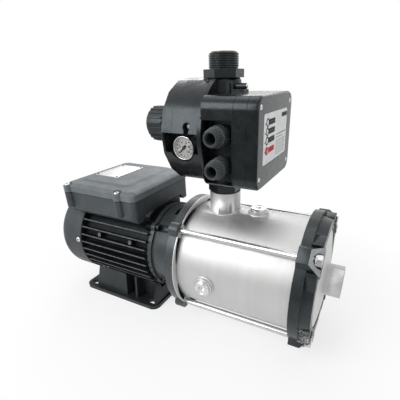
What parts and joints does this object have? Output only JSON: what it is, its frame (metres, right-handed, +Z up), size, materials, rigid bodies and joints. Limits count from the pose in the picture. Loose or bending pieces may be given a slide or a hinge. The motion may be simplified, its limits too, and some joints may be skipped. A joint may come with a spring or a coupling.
{
  "type": "multistage booster pump",
  "caption": "Horizontal multistage water booster pump with a finned motor on a slotted foot, a clamped stainless barrel and an electronic pressure controller on its outlet",
  "frame": {"origin": "middle of the foot's slot pattern, on the base plane the foot stands on", "axes": "+X runs along the shaft towards the suction port, +Z points up along the outlet, +Y away from the gauge side"},
  "size_m": [0.436, 0.177, 0.3565],
  "materials": {
    "fan_cover": "satin mid-grey powder coat",
    "motor_frame": "black paint on die-cast aluminium",
    "bracket_cast": "smooth satin dark-grey paint",
    "flange_cast": "satin black paint",
    "foot": "fine-grained dark grey moulding",
    "box_moulding": "fine-grained near-black moulding",
    "gasket": "plain rubber",
    "stainless": "satin stainless sheet",
    "plug_steel": "bright turned stainless",
    "bolt_steel": "bright zinc plate",
    "screw_steel": "bright zinc plate",
    "bearing_steel": "polished steel",
    "lamination": "stacked laminations",
    "copper": "enamelled copper wire",
    "fan_plastic": "black moulding",
    "inner_plastic": "pale grey moulding",
    "capacitor_can": "ivory moulding",
    "seal_face": "lapped seal faces",
    "controller_moulding": "satin charcoal moulding",
    "outlet_brass": "turned brass, dulled by water",
    "board": "green circuit board",
    "lens": "clear plastic lens",
    "button": "red moulding",
    "gland_plastic": "grey nylon",
    "gauge_case": "bright bezel, white dial",
    "pointer": "black paint",
    "gauge_window": "clear flat window"
  },
  "bodies": {
    "pump": {"fan_cover": "fan_cover", "motor_housing": "motor_frame", "rear_end_shield": "motor_frame", "pump_bracket": "bracket_cast", "front_clamp_flange": "flange_cast", "motor_foot": "foot", "terminal_box": "box_moulding", "terminal_box_lid": "box_moulding", "terminal_box_gasket": "gasket", "casing_o_rings": "gasket", "diaphragm": "gasket", "pump_casing": "stainless", "casing_cover": "stainless", "stage_chambers": "stainless", "discharge_spacer": "stainless", "fill_plug": "plug_steel", "drain_plug": "plug_steel", "tie_bolts": "bolt_steel", "tie_bolt_washers": "bolt_steel", "fan_cover_screws": "screw_steel", "bracket_screws": "screw_steel", "foot_screws": "screw_steel", "terminal_box_lid_screws": "screw_steel", "controller_screws": "screw_steel", "rear_cover_screws": "screw_steel", "pressure_spring": "screw_steel", "adjusting_screw": "screw_steel", "bearing_outer_rings": "bearing_steel", "bearing_balls": "bearing_steel", "stator_core": "lamination", "stator_windings": "copper", "terminal_block": "inner_plastic", "capacitor": "capacitor_can", "seal_seat": "seal_face", "controller_body": "controller_moulding", "outlet_fitting": "controller_moulding", "electronics_housing": "controller_moulding", "controller_lid": "controller_moulding", "rear_cover": "controller_moulding", "spring_cap": "controller_moulding", "outlet_insert": "outlet_brass", "circuit_board": "board", "indicator_lenses": "lens", "gland_bodies": "gland_plastic", "gland_nuts": "gland_plastic", "terminal_box_gland": "gland_plastic", "gauge_case": "gauge_case", "gauge_glass": "gauge_window"},
    "rotor": {"shaft": "stainless", "rotor_core": "lamination", "bearing_inner_rings": "bearing_steel", "cooling_fan": "fan_plastic", "seal_head": "seal_face", "impellers": "stainless", "impeller_spacers": "stainless", "shaft_nut": "stainless"},
    "gauge_pointer": {"gauge_pointer": "pointer"},
    "flow_valve": {"flow_valve": "inner_plastic"},
    "restart_button": {"restart_button": "button"},
    "pressure_plate": {"pressure_plate": "inner_plastic"}
  },
  "joints": [
    {"name": "shaft_spin", "type": "hinge", "parent": "pump", "child": "rotor", "pos_m": [0, 0, 0.092], "axis": [1, 0, 0], "continuous": true},
    {"name": "gauge_pointer_turn", "type": "hinge", "parent": "pump", "child": "gauge_pointer", "pos_m": [0.143, -0.055, 0.2577], "axis": [0, 1, 0], "range_deg": [0, 270]},
    {"name": "flow_valve_lift", "type": "slide", "parent": "pump", "child": "flow_valve", "axis": [0, 0, 1], "range_m": [0, 0.007]},
    {"name": "restart_button_press", "type": "slide", "parent": "pump", "child": "restart_button", "axis": [-1, 0, 0], "range_m": [0, 0.001], "stiffness_N_per_m": 500},
    {"name": "pressure_plate_travel", "type": "slide", "parent": "pump", "child": "pressure_plate", "axis": [-1, 0, 0], "range_m": [0, 0.003], "stiffness_N_per_m": 3000, "deforming": ["pressure_spring", "diaphragm"]}
  ]
}
